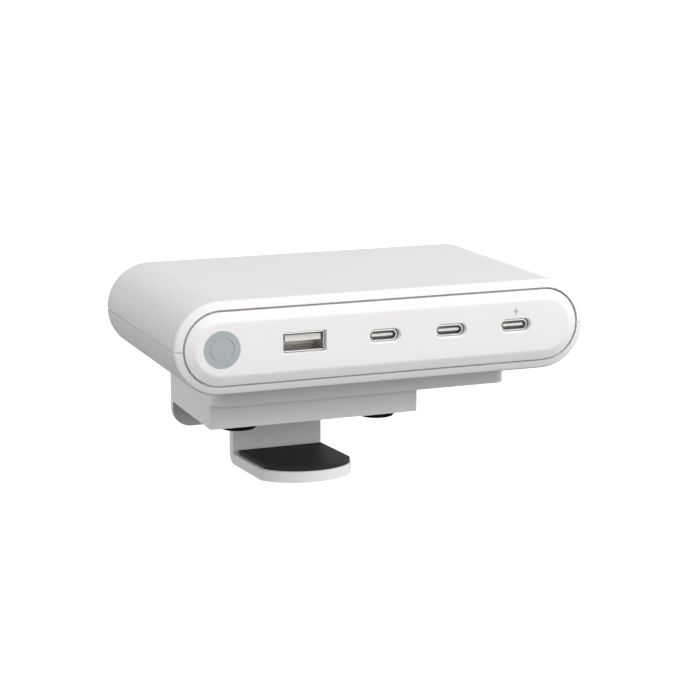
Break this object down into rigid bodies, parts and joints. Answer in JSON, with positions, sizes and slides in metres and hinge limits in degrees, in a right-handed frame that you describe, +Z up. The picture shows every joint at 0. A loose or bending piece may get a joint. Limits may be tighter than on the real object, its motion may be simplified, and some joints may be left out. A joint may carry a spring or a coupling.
{
  "type": "desk power strip",
  "caption": "Flat round-ended charging casing on a desk-edge clamp: USB sockets on the front, mains inlet behind, and a sliding jaw that grips the desk top from below.",
  "frame": {"origin": "the desk's top back edge at the middle of the jaw: level with the rubber feet's undersides and with the front of the jaw's web", "axes": "+X along the desk edge to the user's right, +Y away from the user past the desk edge, +Z up; the sockets face -Y"},
  "size_m": [0.132, 0.0798, 0.0653],
  "materials": {
    "casing_white": "fine matte moulded, ribbed on the sides",
    "panel_white": "smooth satin moulded",
    "badge_grey": "satin grey",
    "mark_grey": "matte grey",
    "socket_white": "matte",
    "socket_black": "matte",
    "socket_steel": "nickel-plated",
    "contact_gold": "gold-plated",
    "board_green": "solder-masked board",
    "ferrite_black": "sintered ferrite",
    "winding_tape": "polyester tape",
    "can_sleeve": "sleeved aluminium can",
    "chip_black": "moulded package",
    "fuse_ceramic": "ceramic",
    "spreader_aluminium": "mill finish",
    "pad_grey": "soft thermal pad",
    "sheet_clear": "insulating film",
    "bracket_white": "fine white powder coat",
    "rubber_black": "matte rubber",
    "screw_steel": "zinc-plated",
    "knob_black": "satin moulded"
  },
  "bodies": {
    "base": {"block_screws": "screw_steel", "board_screws": "screw_steel", "bulk_capacitors": "can_sleeve", "charging_mark": "mark_grey", "clamp_block": "bracket_white", "controller_chips": "chip_black", "flange_screws": "screw_steel", "front_badge": "badge_grey", "front_panel": "panel_white", "fuse": "fuse_ceramic", "heat_spreader": "spreader_aluminium", "inlet_pins": "socket_steel", "insulating_sheet": "sheet_clear", "lower_shell": "casing_white", "main_board": "board_green", "mains_choke": "ferrite_black", "mounting_plate": "bracket_white", "output_capacitors": "can_sleeve", "output_inductors": "ferrite_black", "plate_screws": "screw_steel", "power_inlet": "socket_black", "rear_flange": "bracket_white", "rear_panel": "panel_white", "rubber_foot_left": "rubber_black", "rubber_foot_right": "rubber_black", "shell_screws": "screw_steel", "thermal_pad": "pad_grey", "transformer_core": "ferrite_black", "transformer_winding": "winding_tape", "upper_shell": "casing_white", "usb_a_contacts": "contact_gold", "usb_a_shell": "socket_steel", "usb_a_tongue": "socket_white", "usb_c_contacts": "contact_gold", "usb_c_core_1": "socket_black", "usb_c_core_2": "socket_black", "usb_c_core_3": "socket_black", "usb_c_shell_1": "socket_steel", "usb_c_shell_2": "socket_steel", "usb_c_shell_3": "socket_steel"},
    "jaw": {"clamp_jaw": "bracket_white", "jaw_pad": "rubber_black", "clamp_washer": "screw_steel"},
    "knob": {"clamp_knob": "knob_black", "clamp_stud": "screw_steel"}
  },
  "joints": [
    {"name": "jaw_slide", "type": "slide", "parent": "base", "child": "jaw", "axis": [0, 0, -1], "range_m": [-0.0006, 0.0119]},
    {"name": "clamp_knob_turn", "type": "hinge", "parent": "jaw", "child": "knob", "pos_m": [0, 0.0114, 0.0103], "axis": [0, 1, 0], "range_deg": [0, 540]}
  ]
}
